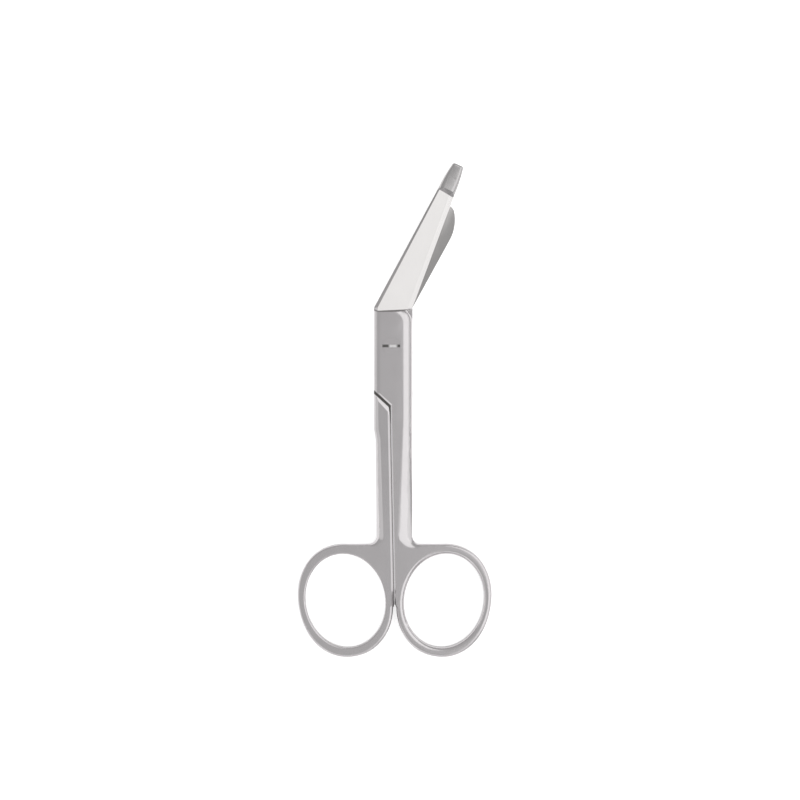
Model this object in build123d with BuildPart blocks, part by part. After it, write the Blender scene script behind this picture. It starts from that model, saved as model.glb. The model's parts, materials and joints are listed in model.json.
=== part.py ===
"""Angled bandage scissors with a blunt probe tip, closed, lying flat on their back.

The pivot axis is Z and the table is Z = 0. The blades point to +Y and bend to +X, and the
finger rings lie at -Y. Millimetres throughout.
"""

import os
from dataclasses import dataclass
from math import cos, degrees, hypot, pi, radians, sin, tan

from build123d import *

os.makedirs("parts", exist_ok=True)

# Joint: two flat laps, one above the other, that turn on the screw
lap_thickness = 2.6
lap_play = 0.04
joint_left = 5.12
joint_right = 6.24
joint_top = 10.9
joint_corner_radius = 4.9
joint_corner_start = 7.0
joint_corner_turn = 60.0
joint_step_run = 0.9
near_round_width = 2.8
near_round_depth = 1.6
far_round_width = 1.9
far_round_depth = 1.1
lap_side_length = 13.0
lap_seam_length = 17.5
lap_gap = 1.0
lap_end_bevel = 0.45
lap_end_angle = 30.0
shoulder_radius = 0.9
shoulder_bevel = 1.15
shoulder_bevel_angle = 25.0
relief_width = 0.55
relief_run = 5.0

# Shanks, side by side along the seam from the joint down to the rings
shank_overlap = 9.0
shank_taper_start = 21.0
seam_x_at_lap = -0.15
seam_x_at_rings = 1.0
seam_gap = 0.12
right_seam_bevel = 0.3
left_seam_bevel = 0.9
seam_bevel_angle = 33.0
right_shank_foot = 6.16
left_shank_waist = 4.65
left_shank_foot = 4.36
left_waist_start = 24.5
left_waist_end = 27.5
right_foot_round = 4.4
left_foot_round = 3.3
facet_top_width = 1.3
facet_foot_width = 2.05
facet_slope = 42.0
facet_start_slope = 30.0
face_fall = 0.16
web_corner_radius = 2.4
rim_margin = 0.2
rim_steps = 4

# Finger rings: ovals that lean outwards at the top, slimmer at their sides than at their ends
ring_centre = 74.95
hole_width = 23.4
hole_length = 27.65
ring_lean = 10.5
ring_side = 2.15
ring_end = 2.85
ring_squareness = 2.12
ring_points = 36
ring_thickness = 4.7
ring_round = 0.85
hole_near_round = 1.2
hole_far_round = 0.5
ring_margin = 0.05
limb_margin = 0.5
limb_run = 6.0
limb_inset = 2.5
limb_bevel_start = 5.0
limb_bevel_depth = 1.0

# Blades, ground flat outside and slightly hollow inside
blade_start = 11.3
blade_root = 1.9
blade_taper = 7.9
face_tilt = 6.0
edge_thickness = 0.65
edge_land = 0.08
edge_bevel = 1.4
hollow_depth = 0.1
spine_bevel_root = 1.1
spine_bevel_tip = 0.5
bevel_share = 0.95
probe_blade_angle = 28.3
probe_blade_length = 40.4
short_blade_angle = 28.8
short_blade_straight = 22.8
short_blade_blank_length = 47.8
short_blade_nose_radius = 12.5
short_blade_nose_turn = 39.0
short_blade_tip_radius = 2.5

# Probe: a smooth flattened bulb on the end of the long blade
probe_length = 8.35
probe_overhang = 0.02
probe_base_thickness = 3.4
probe_base_corner = 1.6
probe_tip_width = 3.3
probe_tip_thickness = 2.6
probe_tip_corner = 0.9
probe_end_round = 0.7
probe_centre_height = 0.55
probe_root = 0.4
probe_foot_run = 1.0
probe_foot_height = 0.25

# Pivot screw: slotted head flush in the upper half, thread in the lower half
head_diameter = 5.2
head_depth = 1.3
screw_diameter = 3.5
running_clearance = 0.04
head_clearance = 0.02
thread_clearance = 0.02
slot_width = 0.8
slot_depth = 0.6
tail_recess = 0.05
tail_chamfer = 0.25

# Cutters reach this far past the faces that they trim
reach = 2.0

total_thickness = 2 * lap_thickness


def ellipse_reach(across_axis: float, along_axis: float, lean: float) -> float:
    """Half the extent of an ellipse that leans by an angle away from its own axes."""
    return hypot(across_axis * cos(radians(lean)), along_axis * sin(radians(lean)))


outer_radius_x = hole_width / 2 + ring_side
outer_radius_y = hole_length / 2 + ring_end
ring_half_width = ellipse_reach(outer_radius_x, outer_radius_y, ring_lean)
ring_half_height = ellipse_reach(outer_radius_y, outer_radius_x, ring_lean)
lean_product = (outer_radius_y**2 - outer_radius_x**2) * sin(radians(2 * ring_lean)) / 2
ring_top_shift = lean_product / ring_half_height
ring_side_drop = lean_product / ring_half_width
ring_top_y = ring_half_height - ring_centre
shank_foot_y = ring_top_y + web_corner_radius
seam_foot_y = -ring_centre - ring_side_drop


@dataclass(frozen=True)
class Half:
    """One half of the scissors in its own frame, with its shank at +x and its lap at +z."""

    side: int
    own: float
    far: float
    stations: tuple
    seam_bevel: float
    foot_round: float

    @property
    def seam_bevel_depth(self) -> float:
        """How far down the seam face the bevel along the seam reaches."""
        return self.seam_bevel * tan(radians(seam_bevel_angle))

    @property
    def frame(self) -> Plane:
        """The half's frame, on the pivot axis at the parting plane between the laps."""
        return Plane(origin=(0, 0, lap_thickness), x_dir=(self.side, 0, 0), z_dir=(0, 0, self.side))

    def point(self, x: float, y: float, z: float = 0) -> Vector:
        """A point of the half's frame, in the part's frame."""
        return self.frame.from_local_coords((x, y, z))

    def layer(self, z: float) -> Plane:
        """The plane parallel to the table at height z of the half's frame."""
        return self.frame.offset(z)

    def across(self, y: float, x: float = 0, turn: float = 0) -> Plane:
        """The upright plane across the half at y, turned about the half's z axis at its origin."""
        x_dir = self.frame.x_dir * cos(radians(turn)) + self.frame.y_dir * sin(radians(turn))
        return Plane(origin=self.point(x, y), x_dir=x_dir, z_dir=x_dir.cross(self.frame.z_dir))

    def seam(self, y: float) -> float:
        """The x of this half's seam face at y."""
        slope = (seam_x_at_rings - seam_x_at_lap) / (lap_seam_length - ring_centre)
        middle = seam_x_at_lap + slope * (y + lap_seam_length)
        return self.side * middle + seam_gap / 2

    def blend(self, y: float, at_joint: float, at_foot: float) -> float:
        """A size that changes evenly from the top of the shank's taper to its foot."""
        share = (y + shank_taper_start) / (shank_foot_y + shank_taper_start)
        return at_joint + share * (at_foot - at_joint)

    @property
    def foot(self) -> float:
        """The x of the shank's outer side where it turns into the ring."""
        return self.stations[-1][1]

    @property
    def ring_x(self) -> float:
        """The x of the finger hole's centre."""
        return self.seam(-ring_centre) + limb_margin + ring_half_width

    @property
    def ring_plane(self) -> Plane:
        """The plane of the ring's lower face, centred on the finger hole and turned by its lean."""
        x_dir = self.frame.x_dir * cos(radians(ring_lean)) - self.frame.y_dir * sin(radians(ring_lean))
        origin = self.point(self.ring_x, -ring_centre, -ring_thickness / 2)
        return Plane(origin=origin, x_dir=x_dir, z_dir=self.frame.z_dir)


upper = Half(
    side=1,
    own=joint_right,
    far=-joint_left,
    stations=((-shank_taper_start, joint_right), (shank_foot_y, right_shank_foot)),
    seam_bevel=right_seam_bevel,
    foot_round=right_foot_round,
)
lower = Half(
    side=-1,
    own=joint_left,
    far=-joint_right,
    stations=(
        (-shank_taper_start, joint_left),
        (-left_waist_start, joint_left),
        (-left_waist_end, left_shank_waist),
        (shank_foot_y, left_shank_foot),
    ),
    seam_bevel=left_seam_bevel,
    foot_round=left_foot_round,
)


def side_arcs(outer: float, top: float, low: float, strip: tuple, facet: tuple, slope: float) -> tuple:
    """The outer side of a section: a wide rounding on the lap's face and a facet on the other face."""
    strip_width, strip_depth = strip
    facet_width, facet_depth = facet
    start = (cos(radians(slope)), sin(radians(slope)))
    strip_arc = TangentArc((outer - strip_width, top), (outer, top - strip_depth), tangent=(1, 0))
    facet_arc = TangentArc((outer - facet_width, low), (outer, low + facet_depth), tangent=start)
    Line(strip_arc @ 1, facet_arc @ 1)
    return strip_arc @ 0, facet_arc @ 0


def shank_section(half: Half, y: float, outer: float) -> Sketch:
    """A shank's section at y: flat faces, a bevel along the seam and a shaped outer side."""
    top = half.blend(y, total_thickness, ring_thickness) / 2
    strip = (half.blend(y, near_round_width, half.foot_round), near_round_depth)
    facet_width = half.blend(y, facet_top_width, facet_foot_width)
    facet = (facet_width, facet_width * tan(radians(facet_slope)))
    inner = half.seam(y)
    low = half.blend(y, face_fall, 0) - top
    with BuildSketch(half.across(y)) as section:
        with BuildLine():
            strip_start, facet_start = side_arcs(outer, top, low, strip, facet, facet_start_slope)
            Polyline(
                strip_start,
                (inner + half.seam_bevel, top),
                (inner, top - half.seam_bevel_depth),
                (inner, half.seam_bevel_depth - top),
                (inner + half.seam_bevel, -top),
                facet_start,
            )
        make_face()
    return section.sketch


def rim_section(half: Half, centre: tuple, share: float) -> Sketch:
    """The web's edge part way round its corner, from the shank's side to the rounding of the ring."""
    top = ring_thickness / 2
    outer = -web_corner_radius
    inner = outer - half.foot_round - 2 * rim_margin
    left = 1 - share
    facet_depth = facet_foot_width * tan(radians(facet_slope))
    strip = (
        left * half.foot_round + share * ring_round,
        left * near_round_depth + share * ring_round,
    )
    facet = (
        left * facet_foot_width + share * ring_round,
        left * facet_depth + share * ring_round,
    )
    with BuildSketch(half.across(centre[1], centre[0], 90 * share)) as section:
        with BuildLine():
            strip_start, facet_start = side_arcs(outer, top, -top, strip, facet, left * facet_start_slope)
            Polyline(strip_start, (inner, top), (inner, -top), facet_start)
        make_face()
    return section.sketch


def seam_strip_section(half: Half, y: float, depth: float, inset: float = 0) -> Sketch:
    """The bevelled edge of the web along the seam, or set back from the seam."""
    top = ring_thickness / 2
    inner = half.seam(y) + inset
    strip_width = half.seam_bevel + limb_margin + ring_round
    with BuildSketch(half.across(y)) as section:
        with BuildLine():
            Polyline(
                (inner + strip_width, top),
                (inner + half.seam_bevel, top),
                (inner, top - depth),
                (inner, depth - top),
                (inner + half.seam_bevel, -top),
                (inner + strip_width, -top),
                close=True,
            )
        make_face()
    return section.sketch


def rounding_cutter(plane: Plane, side_x: float, outward: int, width: float, depth: float) -> Sketch:
    """What a wide rounding takes off a lap's upper edge, as a section across that edge."""
    with BuildSketch(plane) as section:
        with BuildLine():
            arc = TangentArc(
                (side_x - outward * width, lap_thickness),
                (side_x, lap_thickness - depth),
                tangent=(outward, 0),
            )
            Polyline(
                arc @ 1,
                (side_x + outward * reach, lap_thickness - depth),
                (side_x + outward * reach, lap_thickness + reach),
                (side_x - outward * width, lap_thickness + reach),
                arc @ 0,
            )
        make_face()
    return section.sketch


def cut_bevel(corner: Plane, width: float, angle: float) -> None:
    """Cut a bevel along an edge, with the plane's x along the bevelled face and its y into the solid."""
    rise = tan(radians(angle))
    with BuildSketch(corner) as bevel:
        with BuildLine():
            Polyline(
                (-reach, -reach),
                (width + reach / rise, -reach),
                (-reach, (width + reach) * rise),
                close=True,
            )
        make_face()
    extrude(bevel.sketch, amount=lap_seam_length, both=True, mode=Mode.SUBTRACT)


def add_lap(half: Half) -> None:
    """The flat lap of one half, with the roundings along its two sides."""
    shank_top_y = shank_overlap - shank_taper_start
    seam = half.seam(-lap_seam_length)
    flat = half.own - near_round_width
    with BuildSketch(half.layer(lap_play / 2)) as lap:
        with BuildLine():
            Polyline(
                (half.far, joint_top),
                (half.far, -lap_side_length),
                (seam, -lap_seam_length),
                (flat, -lap_seam_length),
                (flat, shank_top_y),
                (half.own, shank_top_y),
                (half.own, joint_top),
                close=True,
            )
        make_face()
    extrude(lap.sketch, amount=lap_thickness - lap_play / 2)
    # The near rounding runs up the side, turns the corner and fades out at the foot of the blade
    centre_x = half.own - joint_corner_radius
    near_sizes = (joint_corner_radius, 1, near_round_width, near_round_depth)
    side = rounding_cutter(half.across(joint_corner_start, centre_x), *near_sizes)
    extrude(side, amount=joint_corner_start - shank_top_y, mode=Mode.SUBTRACT)
    corner_axis = Axis(half.point(centre_x, joint_corner_start), half.frame.z_dir)
    revolve(side, axis=corner_axis, revolution_arc=joint_corner_turn, mode=Mode.SUBTRACT)
    runout = rounding_cutter(half.across(joint_corner_start, centre_x, joint_corner_turn), *near_sizes)
    extrude(runout, amount=half.far - half.own, mode=Mode.SUBTRACT)
    far = rounding_cutter(half.across(joint_top + reach), half.far, -1, far_round_width, far_round_depth)
    extrude(far, amount=joint_top + lap_seam_length + 2 * reach, mode=Mode.SUBTRACT)
    # The lap's end slopes down to the blade
    end_plane = Plane(
        origin=half.point(half.far - reach, joint_top), x_dir=half.frame.y_dir, z_dir=half.frame.x_dir
    )
    with BuildSketch(end_plane) as slope:
        with BuildLine():
            Polyline(
                (0, edge_thickness),
                (reach, edge_thickness),
                (reach, lap_thickness + reach),
                (-joint_step_run, lap_thickness + reach),
                (-joint_step_run, lap_thickness),
                close=True,
            )
        make_face()
    extrude(slope.sketch, amount=half.own - half.far + 2 * reach, mode=Mode.SUBTRACT)
    end_run = Vector(lap_seam_length - lap_side_length, seam - half.far).normalized()
    into_lap = half.point(end_run.X, end_run.Y) - half.point(0, 0)
    lap_corner = Plane(
        origin=half.point(half.far, -lap_side_length, lap_thickness),
        x_dir=into_lap,
        z_dir=half.frame.z_dir.cross(into_lap),
    )
    cut_bevel(lap_corner, lap_end_bevel, lap_end_angle)


def add_shank(half: Half) -> None:
    """The shank, full thickness below the joint and cut back at its shoulder for the other lap."""
    sections = [shank_section(half, y, outer) for y, outer in half.stations]
    extrude(sections[0], amount=-shank_overlap)
    for upper_end, lower_end in zip(sections, sections[1:]):
        loft([upper_end, lower_end])
    seam = half.seam(-lap_seam_length)
    slope = (lap_seam_length - lap_side_length) / (half.own - seam)
    shoulder_side = -lap_side_length - lap_gap
    shoulder_foot = -lap_seam_length - lap_gap
    relief_end = shoulder_foot - relief_run
    corner = (seam + relief_width, shoulder_foot + slope * relief_width)
    with BuildSketch(half.layer(lap_play / 2)) as clearance:
        with BuildLine():
            Polyline(
                (half.own + reach, shoulder_side + slope * reach),
                corner,
                (half.seam(relief_end), relief_end),
                (seam - reach, relief_end),
                (seam - reach, 0),
                (half.own + reach, 0),
                close=True,
            )
        make_face()
    extrude(clearance.sketch, amount=-total_thickness, mode=Mode.SUBTRACT)
    shoulder_corner = half.point(*corner, -lap_thickness / 2)
    fillet(edges().filter_by(Axis.Z).sort_by_distance(shoulder_corner)[0], radius=shoulder_radius)
    into_shank = (half.point(slope, -1) - half.point(0, 0)).normalized()
    bevel_corner = Plane(
        origin=half.point(half.own, shoulder_side, -lap_thickness),
        x_dir=into_shank,
        z_dir=into_shank.cross(half.frame.z_dir),
    )
    cut_bevel(bevel_corner, shoulder_bevel, shoulder_bevel_angle)


def finger_ring(half: Half) -> Part:
    """The finger ring alone, rounded outside and, more on the lap's side, round its hole."""
    lap_axis = Axis(half.point(0, 0), half.frame.z_dir)
    outline = []
    for step in range(ring_points):
        turn = 2 * pi * step / ring_points
        share_x = abs(cos(turn) / outer_radius_x) ** ring_squareness
        share_y = abs(sin(turn) / outer_radius_y) ** ring_squareness
        radius = (share_x + share_y) ** (-1 / ring_squareness)
        outline.append((radius * cos(turn), radius * sin(turn)))
    with BuildPart(mode=Mode.PRIVATE) as ring:
        with BuildSketch(half.ring_plane):
            with BuildLine():
                Spline(*outline, periodic=True)
            make_face()
            Ellipse(hole_width / 2, hole_length / 2, mode=Mode.SUBTRACT)
        extrude(amount=ring_thickness)
        for place, radius in enumerate((hole_far_round, hole_near_round)):
            flat = faces().filter_by(Axis.Z).sort_by(lap_axis)[place]
            fillet(flat.wires().sort_by(SortBy.LENGTH)[0].edges(), radius=radius)
        for place in range(2):
            flat = faces().filter_by(Axis.Z).sort_by(lap_axis)[place]
            fillet(flat.wires().sort_by(SortBy.LENGTH)[-1].edges(), radius=ring_round)
    return ring.part


def add_ring(half: Half) -> None:
    """The web at the shank's foot and the finger ring that it carries."""
    fill_width = half.foot_round + rim_margin
    corner = (half.foot + web_corner_radius, shank_foot_y)
    ring_top_x = half.ring_x + ring_top_shift
    turn_sections = [rim_section(half, corner, step / rim_steps) for step in range(rim_steps + 1)]
    loft(turn_sections)
    extrude(turn_sections[-1], amount=ring_top_x - corner[0])
    strips = [
        seam_strip_section(half, shank_foot_y, half.seam_bevel_depth),
        seam_strip_section(half, seam_foot_y + limb_bevel_start, half.seam_bevel_depth),
        seam_strip_section(half, seam_foot_y, limb_bevel_depth),
        seam_strip_section(half, seam_foot_y - limb_run, limb_bevel_depth, limb_inset),
    ]
    for upper_end, lower_end in zip(strips, strips[1:]):
        loft([upper_end, lower_end])
    with BuildSketch(half.layer(-ring_thickness / 2)) as web:
        with BuildLine():
            turn = CenterArc(corner, web_corner_radius + fill_width, 180, 90)
            Polyline(
                turn @ 1,
                (ring_top_x, corner[1] - web_corner_radius - fill_width),
                (half.ring_x, -ring_centre),
                (half.seam(seam_foot_y) + half.seam_bevel, seam_foot_y),
                (half.seam(shank_foot_y) + half.seam_bevel, shank_foot_y),
                turn @ 0,
            )
        make_face()
    extrude(web.sketch, amount=ring_thickness)
    with BuildSketch(half.ring_plane) as inside:
        margin = hole_near_round + ring_margin
        Ellipse(hole_width / 2 + margin, hole_length / 2 + margin)
    extrude(inside.sketch, amount=ring_thickness, mode=Mode.SUBTRACT)
    add(finger_ring(half))


def blade_section(plane: Plane, width: float, spine_bevel: float) -> Sketch:
    """A blade's section from its spine at x = 0 to its cutting edge, on its inner face at y = 0.

    Where the blade is narrow, its two bevels shrink together to leave some flat between them.
    """
    face_rise = tan(radians(face_tilt))
    spine_thickness = edge_thickness + width * face_rise
    narrowing = min(1, bevel_share * width / (edge_bevel + spine_bevel))
    edge_run, spine_run = edge_bevel * narrowing, spine_bevel * narrowing
    with BuildSketch(plane) as section:
        with BuildLine():
            ThreePointArc((0, 0), (width / 2, hollow_depth), (width, 0))
            Polyline(
                (width, 0),
                (width, edge_land),
                (width - edge_run, edge_thickness + edge_run * face_rise),
                (spine_run, spine_thickness - spine_run * face_rise),
                (0, spine_thickness - spine_run),
                (0, 0),
            )
        make_face()
    return section.sketch


@dataclass(frozen=True)
class Blade:
    """The plan of one blade in its half's frame, with its spine on the far side."""

    half: Half
    spine_angle: float
    length: float

    @property
    def axis_angle(self) -> float:
        """The angle from y to the line midway between the spine and the edge."""
        return self.spine_angle - blade_taper / 2

    def spine(self, distance: float) -> tuple:
        """The point of the spine at a distance from its root."""
        angle = radians(self.spine_angle)
        return (self.half.far + distance * sin(angle), blade_start + distance * cos(angle))

    def edge(self, distance: float) -> tuple:
        """The point of the cutting edge square across from that point of the spine."""
        spine_x, spine_y = self.spine(distance)
        axis = radians(self.axis_angle)
        line = radians(self.spine_angle - blade_taper)
        ahead = (spine_x - self.half.own) * sin(axis) + (spine_y - blade_start) * cos(axis)
        run = ahead / cos(line - axis)
        return (self.half.own + run * sin(line), blade_start + run * cos(line))

    def width(self, distance: float) -> float:
        """The blade's width square across its middle line."""
        spine_x, spine_y = self.spine(distance)
        edge_x, edge_y = self.edge(distance)
        return hypot(edge_x - spine_x, edge_y - spine_y)

    def middle(self, distance: float) -> Vector:
        """The point midway between the spine and the edge."""
        return (Vector(*self.spine(distance)) + Vector(*self.edge(distance))) / 2

    def plane(self, distance: float) -> Plane:
        """The plane across the blade, with x from the spine to the edge and y outwards."""
        start = self.half.point(*self.spine(distance), lap_play / 2)
        end = self.half.point(*self.edge(distance), lap_play / 2)
        x_dir = (end - start).normalized()
        return Plane(origin=start, x_dir=x_dir, z_dir=x_dir.cross(self.half.frame.z_dir))

    def root_plane(self) -> Plane:
        """The plane across the joint where the blade starts."""
        plane = self.half.across(blade_start, self.half.far)
        plane.origin = self.half.point(self.half.far, blade_start, lap_play / 2)
        return plane


def add_blade(blade: Blade) -> None:
    """The blade, from its root inside the lap to its end."""
    root = blade_section(blade.root_plane(), blade.half.own - blade.half.far, spine_bevel_root)
    end = blade_section(blade.plane(blade.length), blade.width(blade.length), spine_bevel_tip)
    extrude(root, amount=blade_root)
    loft([root, end])


def trim_nose(blade: Blade) -> None:
    """Round the end of a blade off from its spine over to its cutting edge."""
    half = blade.half
    angle = radians(blade.spine_angle)
    ahead = Vector(sin(angle), cos(angle))
    inward = Vector(cos(angle), -sin(angle))
    start = Vector(*blade.spine(short_blade_straight))
    turned = radians(blade.spine_angle + short_blade_nose_turn)
    tip_turn = 180 - blade_taper - short_blade_nose_turn
    with BuildSketch(half.layer(-lap_thickness)) as beyond:
        with BuildLine():
            nose = CenterArc(
                start + inward * short_blade_nose_radius,
                short_blade_nose_radius,
                180 - blade.spine_angle,
                -short_blade_nose_turn,
            )
            tip_centre = nose @ 1 + Vector(cos(turned), -sin(turned)) * short_blade_tip_radius
            tip = CenterArc(tip_centre, short_blade_tip_radius, 180 - degrees(turned), -tip_turn)
            Polyline(
                tip @ 1,
                tip @ 1 + ahead * 2 * blade.length,
                start - inward * reach + ahead * 2 * blade.length,
                start - inward * reach,
                nose @ 0,
            )
        make_face()
    extrude(beyond.sketch, amount=2 * total_thickness, mode=Mode.SUBTRACT)


def probe_section(base_width: float, share: float) -> Sketch:
    """The probe's section part way from its foot to its end."""
    late = share**2
    early = share * (2 - share)
    width = base_width + late * (probe_tip_width - base_width)
    thickness = probe_base_thickness + early * (probe_tip_thickness - probe_base_thickness)
    corner = probe_base_corner + early * (probe_tip_corner - probe_base_corner)
    y = share * (probe_length + probe_foot_run) - probe_foot_run
    with BuildSketch(Plane(origin=(0, y, 0), x_dir=(1, 0, 0), z_dir=(0, 1, 0))) as section:
        RectangleRounded(width, thickness, corner)
    return section.sketch


probe_blade = Blade(half=upper, spine_angle=probe_blade_angle, length=probe_blade_length + probe_root)
short_blade = Blade(
    half=lower,
    spine_angle=-short_blade_angle,
    length=short_blade_blank_length,
)

# Probe, made upright and flattened, with a sloping foot, and then laid along the long blade
probe_base_width = probe_blade.width(probe_blade_length) + 2 * probe_overhang
with BuildPart() as probe:
    loft([probe_section(probe_base_width, share) for share in (0, 0.5, 1)])
    fillet(faces().sort_by(Axis.Y)[-1].edges(), radius=probe_end_round)
    with BuildSketch(Plane.YZ) as side:
        with BuildLine():
            Polyline(
                (-probe_foot_run, probe_foot_height),
                (reach - probe_foot_run, probe_foot_height + reach),
                (probe_length + reach, probe_foot_height + reach),
                (probe_length + reach, -probe_foot_height - reach),
                (reach - probe_foot_run, -probe_foot_height - reach),
                (-probe_foot_run, -probe_foot_height),
                close=True,
            )
        make_face()
    extrude(side.sketch, amount=probe_base_width, both=True, mode=Mode.INTERSECT)

probe_angle = radians(probe_blade.axis_angle)
probe_foot = probe_blade.middle(probe_blade_length)
probe_plane = Plane(
    origin=upper.point(probe_foot.X, probe_foot.Y, lap_play / 2 + probe_centre_height),
    x_dir=(cos(probe_angle), -sin(probe_angle), 0),
    z_dir=(0, 0, 1),
)

# Upper half: right shank and ring, long blade with the probe, seat of the screw's head
with BuildPart() as probe_blade_half:
    add_lap(upper)
    add_shank(upper)
    add_ring(upper)
    add_blade(probe_blade)
    with Locations(probe_plane):
        add(probe.part)
    with Locations((0, 0, total_thickness)):
        CounterBoreHole(
            radius=screw_diameter / 2 + running_clearance,
            counter_bore_radius=head_diameter / 2 + head_clearance,
            counter_bore_depth=head_depth + lap_play / 2,
        )

# Lower half: left shank and ring, short blade with a rounded nose, thread of the screw
with BuildPart() as short_blade_half:
    add_lap(lower)
    add_shank(lower)
    add_ring(lower)
    add_blade(short_blade)
    trim_nose(short_blade)
    with Locations((0, 0, lap_thickness)):
        Hole(radius=screw_diameter / 2 + thread_clearance)

# Pivot screw: its head turns in the upper half and its tail stops just short of the table
with BuildPart() as pivot_screw:
    with BuildSketch(Plane.XY.offset(tail_recess)):
        Circle(screw_diameter / 2)
    extrude(amount=total_thickness - tail_recess)
    chamfer(edges().group_by(Axis.Z)[0], length=tail_chamfer)
    with BuildSketch(Plane.XY.offset(total_thickness)):
        Circle(head_diameter / 2)
    extrude(amount=-head_depth)
    with BuildSketch(Plane.XY.offset(total_thickness)):
        Rectangle(head_diameter + reach, slot_width)
    extrude(amount=-slot_depth, mode=Mode.SUBTRACT)

probe_blade_half.part.label = "probe_blade_half"
short_blade_half.part.label = "short_blade_half"
pivot_screw.part.label = "pivot_screw"
export_step(probe_blade_half.part, "parts/probe_blade_half.step")
export_step(short_blade_half.part, "parts/short_blade_half.step")
export_step(pivot_screw.part, "parts/pivot_screw.step")
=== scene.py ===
"""Angled bandage scissors in satin stainless steel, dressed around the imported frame.

The pivot axis is Z, the table is Z = 0, the blades point to +Y and bend to +X. Metres throughout.
"""

import json
import logging
from dataclasses import dataclass, replace
from enum import Enum
from math import cos, pi, radians

import bmesh
import bpy
from mathutils import Matrix, Vector

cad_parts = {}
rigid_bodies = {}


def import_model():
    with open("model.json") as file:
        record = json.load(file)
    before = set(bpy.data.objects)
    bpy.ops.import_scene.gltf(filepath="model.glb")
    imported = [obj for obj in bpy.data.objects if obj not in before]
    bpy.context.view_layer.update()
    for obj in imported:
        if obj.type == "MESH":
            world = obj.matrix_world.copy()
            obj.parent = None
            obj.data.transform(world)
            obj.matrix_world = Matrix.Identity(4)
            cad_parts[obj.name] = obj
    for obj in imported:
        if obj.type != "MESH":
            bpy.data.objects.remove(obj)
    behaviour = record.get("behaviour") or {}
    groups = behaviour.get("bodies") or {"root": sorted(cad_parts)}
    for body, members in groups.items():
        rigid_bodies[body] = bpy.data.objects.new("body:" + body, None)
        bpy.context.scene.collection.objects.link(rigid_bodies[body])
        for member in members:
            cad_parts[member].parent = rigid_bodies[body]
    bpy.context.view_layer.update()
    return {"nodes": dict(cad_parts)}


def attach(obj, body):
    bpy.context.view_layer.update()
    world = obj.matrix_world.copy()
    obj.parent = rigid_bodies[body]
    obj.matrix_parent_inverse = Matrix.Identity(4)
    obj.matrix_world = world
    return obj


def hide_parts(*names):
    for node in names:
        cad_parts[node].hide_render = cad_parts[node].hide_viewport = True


for stray in list(bpy.data.objects):
    bpy.data.objects.remove(stray)
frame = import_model()

MM = 0.001
# Sockets of a Mix node that is set to colours
MIX_SHARE, MIX_FIRST, MIX_SECOND, MIX_RESULT = 0, 6, 7, 2
log = logging.getLogger("bandage_scissors")


class Body(Enum):
    """The two bodies that turn on the pivot."""

    SHORT = "short_half"
    PROBE = "probe_half"


class Slot(Enum):
    """The record's material slots."""

    SATIN = "satin_steel"
    SCREW = "screw_steel"


def linear(hex_colour: str) -> tuple[float, float, float, float]:
    """Turn an sRGB hex colour into linear light.

    Args:
        hex_colour: Six hex digits after a hash sign.

    Returns:
        Linear red, green and blue, and an alpha of one.
    """
    channels = []
    for start in (1, 3, 5):
        value = int(hex_colour[start:start + 2], 16) / 255
        channels.append(value / 12.92 if value <= 0.04045 else ((value + 0.055) / 1.055) ** 2.4)
    return (*channels, 1.0)


def add_node(
    tree: bpy.types.NodeTree,
    kind: str,
    settings: dict[str, object] | None = None,
    values: dict[str | int, object] | None = None,
    links: dict[str | int, bpy.types.NodeSocket] | None = None,
) -> bpy.types.Node:
    """Add one node with its settings, its constant inputs and its links.

    Args:
        tree: The node tree to add to.
        kind: The node's type name.
        settings: Properties of the node.
        values: Constant values of its inputs, by name or place.
        links: Sockets that feed its inputs, by name or place.

    Returns:
        The new node.
    """
    node = tree.nodes.new(kind)
    for key, value in (settings or {}).items():
        setattr(node, key, value)
    for key, value in (values or {}).items():
        node.inputs[key].default_value = value
    for key, socket in (links or {}).items():
        tree.links.new(socket, node.inputs[key])
    return node


def mix_colours(
    tree: bpy.types.NodeTree,
    share: bpy.types.NodeSocket,
    first: str | bpy.types.NodeSocket,
    second: str,
) -> bpy.types.NodeSocket:
    """Add a node that goes from one colour to another.

    Args:
        tree: The node tree to add to.
        share: The share of the second colour.
        first: The first colour, in hex digits or from a socket.
        second: The second colour, in hex digits.

    Returns:
        The socket of the mixed colour.
    """
    node = add_node(
        tree,
        "ShaderNodeMix",
        settings={"data_type": "RGBA"},
        values={MIX_SECOND: linear(second)},
        links={MIX_SHARE: share},
    )
    if isinstance(first, str):
        node.inputs[MIX_FIRST].default_value = linear(first)
    else:
        tree.links.new(first, node.inputs[MIX_FIRST])
    return node.outputs[MIX_RESULT]


def blank_material(name: str) -> bpy.types.Material:
    """Make a material with an empty node tree.

    Args:
        name: The material's name.

    Returns:
        The new material.
    """
    made = bpy.data.materials.new(name)
    made.use_nodes = True
    made.node_tree.nodes.clear()
    return made


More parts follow.
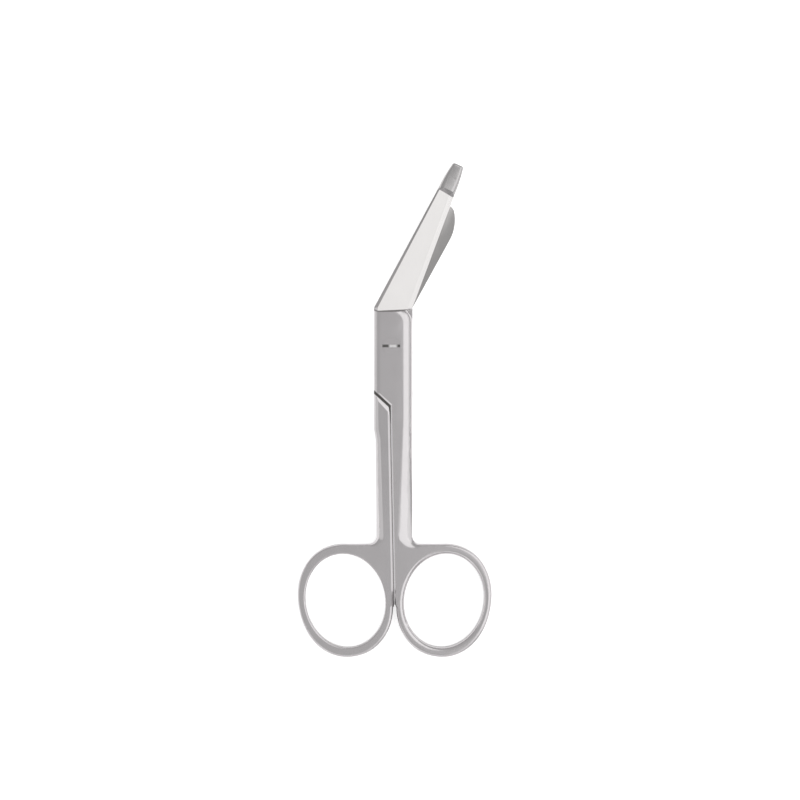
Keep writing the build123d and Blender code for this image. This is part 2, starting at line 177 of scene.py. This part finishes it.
@dataclass(frozen=True)
class SteelFinish:
    """Stainless steel with fine lengthwise grinding marks under a satin surface.

    The grit leaves scratches a few hundredths of a millimetre wide, too fine to show, so they are
    drawn as coarse as grit_mm to be seen as a faint grain.
    """

    name: str
    colour: str
    shade: str
    roughness: float
    roughness_spread: float
    grit_mm: float
    stroke_mm: float
    relief_mm: float
    turn_deg: float
    cloud_mm: float
    rim: str = "#C8C8C8"
    cloud_detail: float = 2.0
    cloud_roughness: float = 0.5
    grain_detail: float = 3.0
    grain_roughness: float = 0.6
    grain_low: float = 0.3
    grain_high: float = 0.7

    def tint(self, tree: bpy.types.NodeTree, place: bpy.types.NodeSocket) -> bpy.types.NodeSocket:
        """Add the steel's colour, which wanders a little from place to place.

        Args:
            tree: The material's node tree.
            place: The object coordinates.

        Returns:
            The socket of the colour.
        """
        cloud = add_node(
            tree,
            "ShaderNodeTexNoise",
            values={
                "Scale": 1 / (self.cloud_mm * MM),
                "Detail": self.cloud_detail,
                "Roughness": self.cloud_roughness,
            },
            links={"Vector": place},
        )
        return mix_colours(tree, cloud.outputs["Fac"], self.colour, self.shade)

    def material(self) -> bpy.types.Material:
        """Make the node material.

        Returns:
            The material of this finish.
        """
        made = blank_material(self.name)
        tree = made.node_tree
        place = add_node(tree, "ShaderNodeTexCoord")
        across, along = 1 / (self.grit_mm * MM), 1 / (self.stroke_mm * MM)
        strokes = add_node(
            tree,
            "ShaderNodeMapping",
            values={"Rotation": (0, 0, radians(self.turn_deg)), "Scale": (across, along, across)},
            links={"Vector": place.outputs["Object"]},
        )
        grain = add_node(
            tree,
            "ShaderNodeTexNoise",
            values={"Scale": 1.0, "Detail": self.grain_detail, "Roughness": self.grain_roughness},
            links={"Vector": strokes.outputs["Vector"]},
        )
        rough = add_node(
            tree,
            "ShaderNodeMapRange",
            values={
                "From Min": self.grain_low,
                "From Max": self.grain_high,
                "To Min": self.roughness - self.roughness_spread,
                "To Max": self.roughness + self.roughness_spread,
            },
            links={"Value": grain.outputs["Fac"]},
        )
        relief = add_node(
            tree,
            "ShaderNodeBump",
            values={"Strength": 1.0, "Distance": self.relief_mm * MM},
            links={"Height": grain.outputs["Fac"]},
        )
        shader = add_node(
            tree,
            "ShaderNodeBsdfPrincipled",
            values={"Metallic": 1.0, "Specular Tint": linear(self.rim)},
            links={
                "Base Color": self.tint(tree, place.outputs["Object"]),
                "Roughness": rough.outputs["Result"],
                "Normal": relief.outputs["Normal"],
            },
        )
        add_node(tree, "ShaderNodeOutputMaterial", links={"Surface": shader.outputs["BSDF"]})
        return made


@dataclass(frozen=True)
class LappedFinish(SteelFinish):
    """Lapped steel of the joint, darkened with painted shade along the slanting ends of the laps, where
    the gap lies.
    """

    # Painted shade: the dark colour of the gap at the end of the lap
    painted_shade: str = "#767472"
    end_normal: tuple[float, float, float] = (0.67, 0.74, 0.0)
    unshaded_mm: float = 12.6
    shaded_mm: float = 13.2

    def tint(self, tree: bpy.types.NodeTree, place: bpy.types.NodeSocket) -> bpy.types.NodeSocket:
        """Add the steel's colour, darkened with painted shade towards the end of the lap on either side.

        Args:
            tree: The material's node tree.
            place: The object coordinates.

        Returns:
            The socket of the colour.
        """
        folded = add_node(
            tree, "ShaderNodeVectorMath", settings={"operation": "ABSOLUTE"}, links={0: place}
        )
        away = add_node(
            tree,
            "ShaderNodeVectorMath",
            settings={"operation": "DOT_PRODUCT"},
            values={1: self.end_normal},
            links={0: folded.outputs["Vector"]},
        )
        share = add_node(
            tree,
            "ShaderNodeMapRange",
            values={"From Min": self.unshaded_mm * MM, "From Max": self.shaded_mm * MM},
            links={"Value": away.outputs["Value"]},
        )
        return mix_colours(tree, share.outputs["Result"], super().tint(tree, place), self.painted_shade)


# Satin stainless steel, glass-bead blasted after forging: soft grey with broad highlights
SATIN_STEEL = SteelFinish(
    name="stainless_steel_satin_blasted",
    colour="#CBC8C9",
    shade="#C4C1C2",
    roughness=0.2,
    roughness_spread=0.015,
    grit_mm=0.3,
    stroke_mm=3.0,
    relief_mm=0.0001,
    turn_deg=0.0,
    cloud_mm=6.0,
)
# Stainless steel ground flat along the blade: brighter and a little sharper than the satin body
GROUND_STEEL = SteelFinish(
    name="stainless_steel_ground_flat",
    colour="#D2D0CF",
    shade="#CCCAC9",
    roughness=0.2,
    roughness_spread=0.015,
    grit_mm=0.25,
    stroke_mm=4.0,
    relief_mm=0.0001,
    turn_deg=24.0,
    cloud_mm=8.0,
)
# Stainless steel honed along the cutting edge, lightened as painted light so that the bevel shows as
# bright as the blade's face beside it
HONED_LIT_STEEL = replace(
    GROUND_STEEL, name="stainless_steel_edge_honed_painted_light", colour="#DAD8D7", shade="#D5D3D2", roughness=0.18
)
# Stainless steel along the spine, darkened as painted shade: a dark line beside the bright face
SPINE_SHADED_STEEL = replace(
    SATIN_STEEL, name="stainless_steel_spine_painted_shade", colour="#9C9A9A", shade="#949292", roughness=0.3
)
# Stainless steel polished on the blunt probe: a sharper highlight from its lower roughness, and a darker
# colour that is painted shade
POLISHED_SHADED_STEEL = replace(
    SATIN_STEEL, name="stainless_steel_probe_polished_painted_shade", colour="#BAB8B8", shade="#B2B0B0", roughness=0.16
)
# Stainless steel hollow-ground inside the blades: finer, and darker as painted shade, as it lies under
# the other blade and mirrors less of the lamps
HOLLOW_SHADED_STEEL = replace(
    GROUND_STEEL, name="stainless_steel_hollow_ground_painted_shade", colour="#B6B4B3", shade="#AFADAC", roughness=0.22
)
# Stainless steel turned and ground flush with the joint, so that only its slot shows
SCREW_STEEL = replace(SATIN_STEEL, name="stainless_steel_screw_ground_flush")
# Stainless steel lapped: duller where the halves turn on each other, and a little darker there as
# painted shade, darkest in the gap at the lap's end
LAPPED_SHADED_STEEL = LappedFinish(
    name="stainless_steel_lapped_painted_shade",
    colour="#B0AEAC",
    shade="#A3A19F",
    roughness=0.36,
    roughness_spread=0.04,
    grit_mm=0.25,
    stroke_mm=1.5,
    relief_mm=0.0004,
    turn_deg=0.0,
    cloud_mm=4.0,
)


@dataclass(frozen=True)
class SawnSlotFinish:
    """Sawn steel of the screw's slot, coloured with a painted highlight in the middle and painted shade
    at the ends.
    """

    name: str = "stainless_steel_slot_sawn_painted_light"
    # Painted light: a bright middle as a painted highlight, and dark ends as painted shade
    painted_highlight: str = "#EAE8E8"
    painted_shade: str = "#6A6967"
    roughness: float = 0.3
    middle_mm: float = 0.5
    painted_highlight_half_mm: float = 0.8
    painted_shade_half_mm: float = 1.5

    def material(self) -> bpy.types.Material:
        """Make the node material.

        Returns:
            The material of the slot.
        """
        made = blank_material(self.name)
        tree = made.node_tree
        place = add_node(tree, "ShaderNodeTexCoord")
        parts = add_node(tree, "ShaderNodeSeparateXYZ", links={"Vector": place.outputs["Object"]})
        along = add_node(
            tree,
            "ShaderNodeMath",
            settings={"operation": "SUBTRACT"},
            values={1: self.middle_mm * MM},
            links={0: parts.outputs["X"]},
        )
        away = add_node(
            tree, "ShaderNodeMath", settings={"operation": "ABSOLUTE"}, links={0: along.outputs[0]}
        )
        share = add_node(
            tree,
            "ShaderNodeMapRange",
            values={"From Min": self.painted_highlight_half_mm * MM, "From Max": self.painted_shade_half_mm * MM},
            links={"Value": away.outputs[0]},
        )
        shader = add_node(
            tree,
            "ShaderNodeBsdfPrincipled",
            values={"Metallic": 1.0, "Roughness": self.roughness},
            links={"Base Color": mix_colours(tree, share.outputs["Result"], self.painted_highlight, self.painted_shade)},
        )
        add_node(tree, "ShaderNodeOutputMaterial", links={"Surface": shader.outputs["BSDF"]})
        return made


@dataclass
class SteelPiece:
    """One steel piece that stands for its CAD node with welded faces and smooth roundings."""

    node: str
    body: Body
    slot: Slot
    finish: SteelFinish
    crease_deg: float = 24.0
    weld_mm: float = 0.002

    def shape(self) -> bpy.types.Object:
        """Weld a copy of the node's mesh and mark its creases.

        Returns:
            The new object, at the origin.
        """
        mesh = bpy.data.meshes.new(f"{self.node}_steel")
        bm = bmesh.new()
        bm.from_mesh(frame["nodes"][self.node].data)
        bmesh.ops.remove_doubles(bm, verts=bm.verts, dist=self.weld_mm * MM)
        for face in bm.faces:
            face.smooth = True
        for edge in bm.edges:
            edge.smooth = edge.is_manifold and edge.calc_face_angle(pi) < radians(self.crease_deg)
        bm.to_mesh(mesh)
        bm.free()
        piece = bpy.data.objects.new(f"{self.node}_steel", mesh)
        bpy.context.scene.collection.objects.link(piece)
        weighted = piece.modifiers.new("flat_faces_stay_flat", "WEIGHTED_NORMAL")
        weighted.keep_sharp = True
        weighted.mode = "FACE_AREA_WITH_ANGLE"
        return piece

    def dress(self, piece: bpy.types.Object) -> None:
        """Give the piece its finish.

        Args:
            piece: The object to dress.
        """
        piece.data.materials.append(self.finish.material())

    def build(self) -> bpy.types.Object:
        """Make the piece in place of its node.

        Returns:
            The finished piece.
        """
        piece = self.shape()
        self.dress(piece)
        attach(piece, self.body.value)
        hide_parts(self.node)
        log.info("%s: %d faces", piece.name, len(piece.data.polygons))
        return piece


@dataclass
class BladedHalf(SteelPiece):
    """A half of the scissors: satin outside, with a ground blade and a lapped joint.

    The side is 1 for the upper half and -1 for the lower one. The cutting edge and the blade's axis
    are those of the upper half.
    """

    ground: SteelFinish = GROUND_STEEL
    # Painted shade on the inner faces of the blades
    hollow: SteelFinish = HOLLOW_SHADED_STEEL
    # Painted light: the edge bevel's colour is lightened to match the face
    honed: SteelFinish = HONED_LIT_STEEL
    # Painted shade on the spine's bevel
    spine_shaded: SteelFinish = SPINE_SHADED_STEEL
    # Painted shade: the probe's colour is darkened
    polished: SteelFinish = POLISHED_SHADED_STEEL
    # Painted shade over the joint's lapped faces and the gap at the lap's end
    lapped: LappedFinish = LAPPED_SHADED_STEEL
    side: int = 1
    ground_from_mm: float = 10.3
    ground_tilt_deg: float = 9.0
    honed_tilt_deg: float = 30.0
    honed_lean: float = 0.35
    spine_tilt_deg: float = 60.0
    spine_lean: float = 0.4
    edge_normal: tuple[float, float, float] = (0.92, -0.39, 0.0)
    blade_axis: tuple[float, float, float] = (0.4123, 0.911, 0.0)
    probe_from_mm: float = 48.2
    parting_mm: float = 2.6
    lap_play_mm: float = 0.1
    hollow_mm: float = 0.2
    lap_from_mm: float = -25.0
    lap_to_mm: float = 11.3
    gap_spread_deg: float = 20.0

    def is_probe(self, face: bpy.types.MeshPolygon) -> bool:
        """Tell whether a face belongs to the probe on the end of the long blade.

        Args:
            face: A face of the half.

        Returns:
            True for all sides of the probe.
        """
        return face.center.dot(Vector(self.blade_axis)) > self.probe_from_mm * MM

    def is_bevel(
        self, face: bpy.types.MeshPolygon, flattest_deg: float, steepest_deg: float, lean: float
    ) -> bool:
        """Tell whether a face belongs to a bevel along one side of the blade.

        Args:
            face: A face of the half.
            flattest_deg: The least tilt that the bevel may have.
            steepest_deg: The greatest tilt that it may have.
            lean: How far its normal leans at least to the cutting edge, or to the spine if negative.

        Returns:
            True for such a bevel on the outer side of the blade.
        """
        outward = self.side * face.normal.z
        if not cos(radians(steepest_deg)) < outward < cos(radians(flattest_deg)):
            return False
        leaning = self.side * face.normal.dot(Vector(self.edge_normal))
        return leaning / lean > 1 and face.center.y > self.lap_to_mm * MM

    def is_honed(self, face: bpy.types.MeshPolygon) -> bool:
        """Tell whether a face belongs to the bevel along the cutting edge.

        Args:
            face: A face of the half.

        Returns:
            True for the bevel on the outer side of the blade.
        """
        return self.is_bevel(face, self.ground_tilt_deg, self.honed_tilt_deg, self.honed_lean)

    def is_spine(self, face: bpy.types.MeshPolygon) -> bool:
        """Tell whether a face belongs to the bevel along the spine of the blade.

        Args:
            face: A face of the half.

        Returns:
            True for the bevel on the outer side of the blade.
        """
        return self.is_bevel(face, self.honed_tilt_deg, self.spine_tilt_deg, -self.spine_lean)

    def is_ground(self, face: bpy.types.MeshPolygon) -> bool:
        """Tell whether a face belongs to the outer face of the blade.

        Args:
            face: A face of the half.

        Returns:
            True for the flat outside of the blade.
        """
        outward = self.side * face.normal.z > cos(radians(self.ground_tilt_deg))
        return outward and face.center.y > self.ground_from_mm * MM

    def is_hollow(self, face: bpy.types.MeshPolygon) -> bool:
        """Tell whether a face belongs to the inner face of the blade.

        Args:
            face: A face of the half.

        Returns:
            True for the hollow inside of the blade.
        """
        inward = -self.side * face.normal.z > cos(radians(self.ground_tilt_deg))
        near = abs(face.center.z - self.parting_mm * MM) < self.hollow_mm * MM
        return inward and near and face.center.y > self.lap_to_mm * MM

    def is_lapped(self, face: bpy.types.MeshPolygon) -> bool:
        """Tell whether a face rubs on the other half or lines the gap below its lap.

        Args:
            face: A face of the half.

        Returns:
            True for the inner face of the lap and for the walls of the gap.
        """
        if not self.lap_from_mm * MM < face.center.y < self.lap_to_mm * MM:
            return False
        inward = -self.side * face.normal.z > cos(radians(self.ground_tilt_deg))
        if inward and abs(face.center.z - self.parting_mm * MM) < self.lap_play_mm * MM:
            return True
        # Faces that line the gap take the lapped finish, whose darker colour is painted shade
        folded = Vector(abs(part) for part in face.normal)
        return folded.dot(Vector(self.lapped.end_normal)) > cos(radians(self.gap_spread_deg))

    def dress(self, piece: bpy.types.Object) -> None:
        """Give the body the satin finish, and the blade, the probe and the joint their own.

        Args:
            piece: The object to dress.
        """
        super().dress(piece)
        self.finish_zones(piece)
        self.sharpen_borders(piece)

    def finish_zones(self, piece: bpy.types.Object) -> None:
        """Give each zone of the half its finish; the first zone that claims a face has it.

        Args:
            piece: The object to dress.
        """
        zones = (
            (self.lapped, self.is_lapped),
            (self.hollow, self.is_hollow),
            (self.polished, self.is_probe),
            (self.honed, self.is_honed),
            (self.spine_shaded, self.is_spine),
            (self.ground, self.is_ground),
        )
        left = list(piece.data.polygons)
        for finish, belongs in zones:
            taken = [face for face in left if belongs(face)]
            if not taken:
                continue
            left = [face for face in left if not belongs(face)]
            piece.data.materials.append(finish.material())
            for face in taken:
                face.material_index = len(piece.data.materials) - 1
            log.info("%s: %d faces of %s", self.node, len(taken), finish.name)

    @staticmethod
    def sharpen_borders(piece: bpy.types.Object) -> None:
        """Make the edges between different finishes sharp.

        Args:
            piece: The object whose edges are marked.
        """
        bm = bmesh.new()
        bm.from_mesh(piece.data)
        for edge in bm.edges:
            if len({face.material_index for face in edge.link_faces}) > 1:
                edge.smooth = False
        bm.to_mesh(piece.data)
        bm.free()


@dataclass
class SlottedScrew(SteelPiece):
    """The pivot screw, with a sawn slot across its flush head."""

    slot_finish: SawnSlotFinish = SawnSlotFinish()
    slot_width_mm: float = 0.8
    slot_depth_mm: float = 0.6
    rim_mm: float = 0.02
    end_lean: float = 0.02

    def dress(self, piece: bpy.types.Object) -> None:
        """Give the screw its finish and the slot its own.

        Args:
            piece: The object to dress.
        """
        super().dress(piece)
        # The slot's material paints a highlight in its middle and shade at its ends
        piece.data.materials.append(self.slot_finish.material())
        top = max(vertex.co.z for vertex in piece.data.vertices)
        half = (self.slot_width_mm / 2 + self.rim_mm) * MM
        deep = (self.slot_depth_mm + self.rim_mm) * MM
        for face in piece.data.polygons:
            within = abs(face.center.y) < half and self.rim_mm * MM < top - face.center.z < deep
            if within and abs(face.normal.x) < self.end_lean:
                face.material_index = 1


@dataclass(frozen=True)
class Softbox:
    """A rectangular studio lamp that faces the scissors."""

    name: str
    place_mm: tuple[float, float, float]
    width_mm: float
    length_mm: float
    radiance: float

    def build(self, target: Vector) -> bpy.types.Object:
        """Place the lamp.

        Args:
            target: The point that the lamp faces.

        Returns:
            The lamp's object.
        """
        lamp = bpy.data.lights.new(self.name, "AREA")
        lamp.shape = "RECTANGLE"
        lamp.size = self.width_mm * MM
        lamp.size_y = self.length_mm * MM
        lamp.energy = self.radiance * pi * lamp.size * lamp.size_y
        holder = bpy.data.objects.new(self.name, lamp)
        bpy.context.scene.collection.objects.link(holder)
        place = Vector(self.place_mm) * MM
        away = (place - target).normalized()
        across = Vector((0, 1, 0)).cross(away).normalized()
        turn = Matrix((across, away.cross(across), away)).transposed()
        holder.matrix_world = Matrix.Translation(place) @ turn.to_4x4()
        holder.visible_camera = False
        return holder


@dataclass
class Studio:
    """White table, pale surround and soft lamps."""

    table_size_mm: float = 4000.0
    table_drop_mm: float = 0.05
    table_colour: str = "#F2F2F2"
    table_glow: float = 0.58
    sky_top: str = "#CECECE"
    sky_rim: str = "#C6C6C6"
    sky_rim_height: float = 0.2
    softboxes: tuple[Softbox, ...] = (
        Softbox("right_softbox", (388, 60, 700), 680, 1200, 0.75),
        Softbox("right_low_softbox", (795, 60, 422), 382, 1300, 0.6),
        Softbox("left_low_softbox", (-856, -60, 278), 560, 900, 0.32),
        Softbox("near_softbox", (0, -760, 480), 1000, 420, 0.55),
        Softbox("near_left_softbox", (-560, -620, 420), 480, 520, 0.6),
    )

    def table(self) -> bpy.types.Object:
        """Make the table top.

        Returns:
            The table's object.
        """
        mesh = bpy.data.meshes.new("table")
        bm = bmesh.new()
        bmesh.ops.create_grid(bm, x_segments=1, y_segments=1, size=self.table_size_mm * MM / 2)
        bmesh.ops.translate(bm, verts=bm.verts, vec=(0, 0, -self.table_drop_mm * MM))
        bm.to_mesh(mesh)
        bm.free()
        table = bpy.data.objects.new("table", mesh)
        bpy.context.scene.collection.objects.link(table)
        mesh.materials.append(self.paper())
        return table

    def paper(self) -> bpy.types.Material:
        """Make the white paper of the table, which glows to the camera and in reflections.

        Returns:
            The table's material.
        """
        made = blank_material("white_paper_matt")
        tree = made.node_tree
        path = add_node(tree, "ShaderNodeLightPath")
        seen = add_node(
            tree,
            "ShaderNodeMath",
            settings={"operation": "MAXIMUM"},
            links={0: path.outputs["Is Camera Ray"], 1: path.outputs["Is Glossy Ray"]},
        )
        shown = add_node(
            tree,
            "ShaderNodeMath",
            settings={"operation": "MAXIMUM"},
            links={0: seen.outputs[0], 1: path.outputs["Is Transmission Ray"]},
        )
        glow = add_node(
            tree,
            "ShaderNodeMath",
            settings={"operation": "MULTIPLY"},
            values={1: self.table_glow},
            links={0: shown.outputs[0]},
        )
        matt = add_node(tree, "ShaderNodeBsdfDiffuse", values={"Color": linear(self.table_colour)})
        light = add_node(
            tree,
            "ShaderNodeEmission",
            values={"Color": (1, 1, 1, 1)},
            links={"Strength": glow.outputs[0]},
        )
        both = add_node(
            tree, "ShaderNodeAddShader", links={0: matt.outputs["BSDF"], 1: light.outputs["Emission"]}
        )
        add_node(tree, "ShaderNodeOutputMaterial", links={"Surface": both.outputs["Shader"]})
        return made

    def surround(self) -> None:
        """Make the surround: pale grey overhead and a little darker towards the horizon."""
        world = bpy.data.worlds.new("studio_surround")
        world.use_nodes = True
        tree = world.node_tree
        tree.nodes.clear()
        place = add_node(tree, "ShaderNodeTexCoord")
        parts = add_node(tree, "ShaderNodeSeparateXYZ", links={"Vector": place.outputs["Generated"]})
        rise = add_node(
            tree,
            "ShaderNodeMapRange",
            values={"From Min": self.sky_rim_height},
            links={"Value": parts.outputs["Z"]},
        )
        tone = mix_colours(tree, rise.outputs["Result"], self.sky_rim, self.sky_top)
        sky = add_node(tree, "ShaderNodeBackground", values={"Strength": 1.0}, links={"Color": tone})
        add_node(tree, "ShaderNodeOutputWorld", links={"Surface": sky.outputs["Background"]})
        bpy.context.scene.world = world

    def build(self, target: Vector) -> None:
        """Set the studio up.

        Args:
            target: The point that the lamps face.
        """
        self.table()
        self.surround()
        for softbox in self.softboxes:
            softbox.build(target)
            log.info("%s placed", softbox.name)


@dataclass(frozen=True)
class TopCamera:
    """A camera with a long lens that looks straight down on the scissors."""

    centre_x_mm: float = 2.56
    centre_y_mm: float = -15.9
    level_mm: float = 3.5
    frame_mm: float = 235.7
    lens_mm: float = 120.0
    sensor_mm: float = 36.0
    nearest_m: float = 0.01
    farthest_m: float = 20.0

    def build(self) -> bpy.types.Object:
        """Place the camera and make it the scene's own.

        Returns:
            The camera's object.
        """
        lens = bpy.data.cameras.new("top_camera")
        lens.lens = self.lens_mm
        lens.sensor_width = self.sensor_mm
        lens.clip_start = self.nearest_m
        lens.clip_end = self.farthest_m
        camera = bpy.data.objects.new("top_camera", lens)
        bpy.context.scene.collection.objects.link(camera)
        distance = self.frame_mm * self.lens_mm / self.sensor_mm
        camera.location = Vector((self.centre_x_mm, self.centre_y_mm, self.level_mm + distance)) * MM
        bpy.context.scene.camera = camera
        return camera


def main() -> None:
    """Build the scissors, the studio and the camera."""
    logging.basicConfig(level=logging.INFO, format="%(name)s: %(message)s")
    pieces = (
        BladedHalf("probe_blade_half", Body.PROBE, Slot.SATIN, SATIN_STEEL, side=1),
        BladedHalf("short_blade_half", Body.SHORT, Slot.SATIN, SATIN_STEEL, side=-1),
        SlottedScrew("pivot_screw", Body.SHORT, Slot.SCREW, SCREW_STEEL),
    )
    for piece in pieces:
        piece.build()
    camera = TopCamera()
    camera.build()
    Studio().build(Vector((camera.centre_x_mm, camera.centre_y_mm, 0)) * MM)
    bpy.context.scene.view_settings.view_transform = "Standard"
    bpy.context.view_layer.update()


if __name__ == "__main__":
    main()
